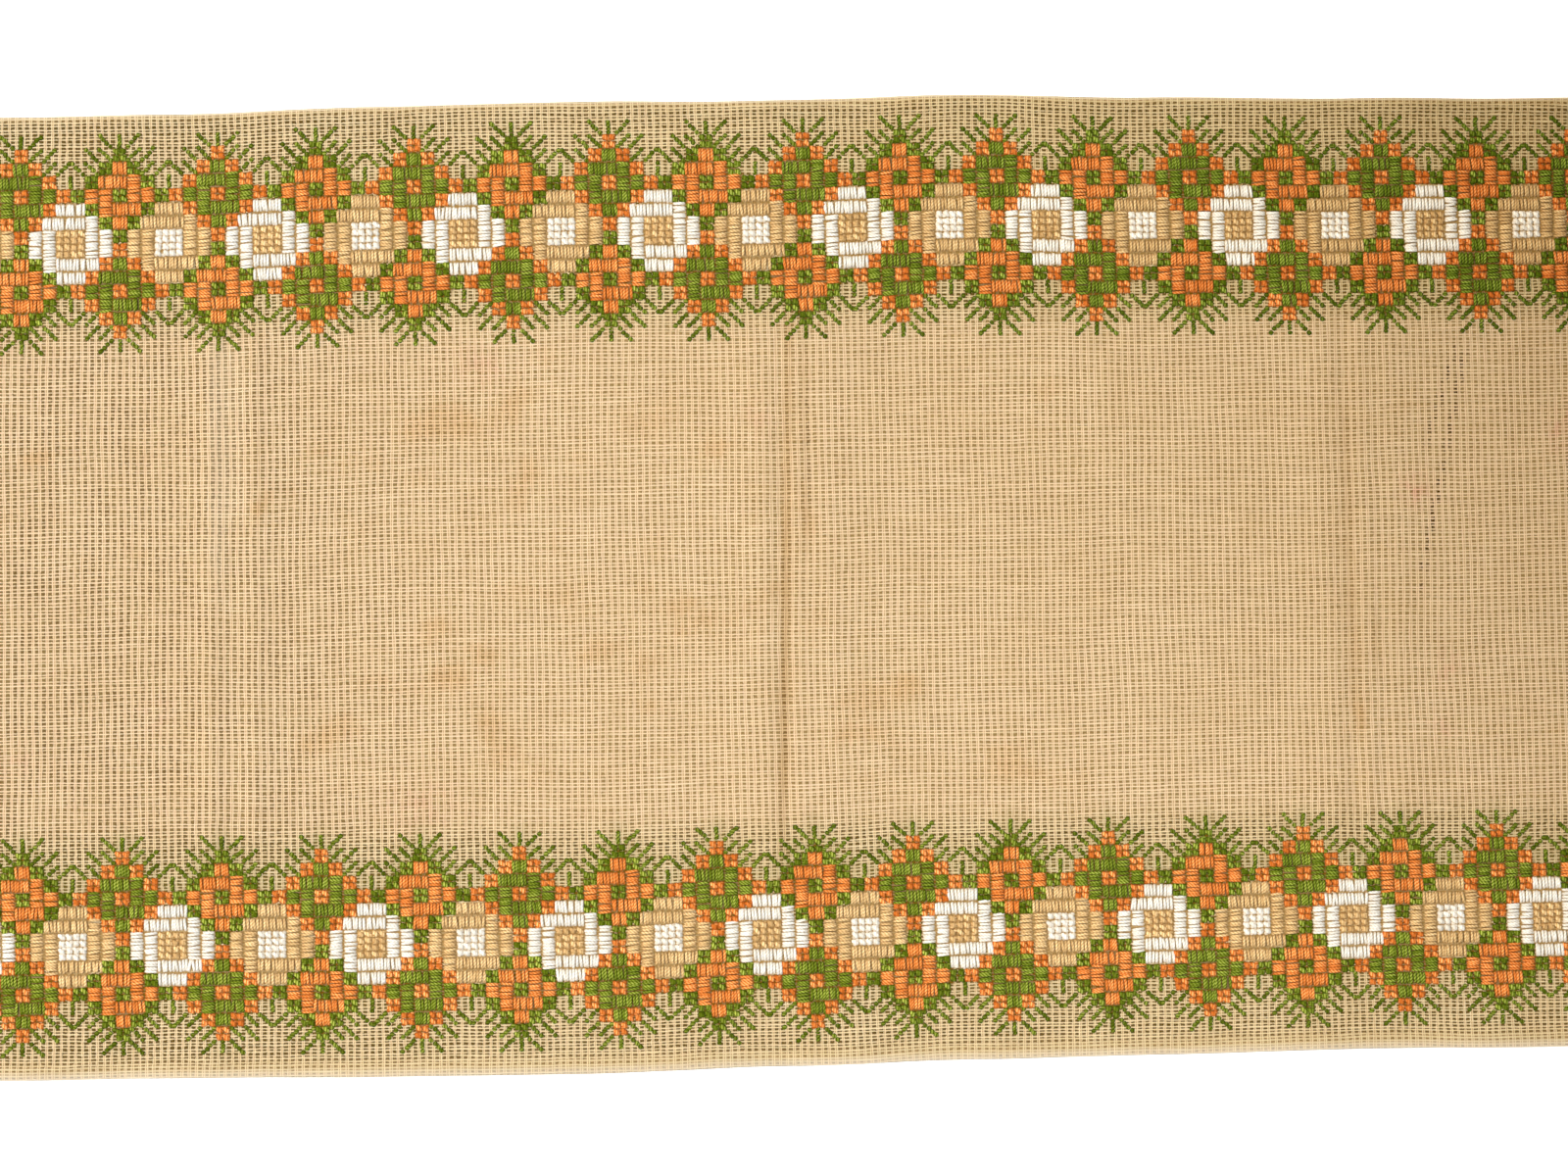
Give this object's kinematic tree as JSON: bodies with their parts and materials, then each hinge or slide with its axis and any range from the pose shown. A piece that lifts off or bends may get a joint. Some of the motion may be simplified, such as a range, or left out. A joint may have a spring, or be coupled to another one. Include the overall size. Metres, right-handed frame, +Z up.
{
  "type": "woven table runner",
  "caption": "Flat open-canvas table runner with turned hems, fold creases and a raised counted-thread flower border along each long edge.",
  "frame": {"origin": "middle of the runner's outline, on the surface that it lies on", "axes": "+X along the runner, +Y across it towards the border that is upper in the picture, +Z up"},
  "size_m": [0.842, 0.354, 0.0034],
  "materials": {
    "canvas": "open double-thread canvas, matt",
    "green_thread": "soft two-ply embroidery thread, low lustre",
    "orange_thread": "soft two-ply embroidery thread, low lustre",
    "white_thread": "soft two-ply embroidery thread, low lustre",
    "tan_thread": "soft two-ply embroidery thread, low lustre"
  },
  "bodies": {
    "root": {"runner_cloth": "canvas"}
  },
  "joints": []
}
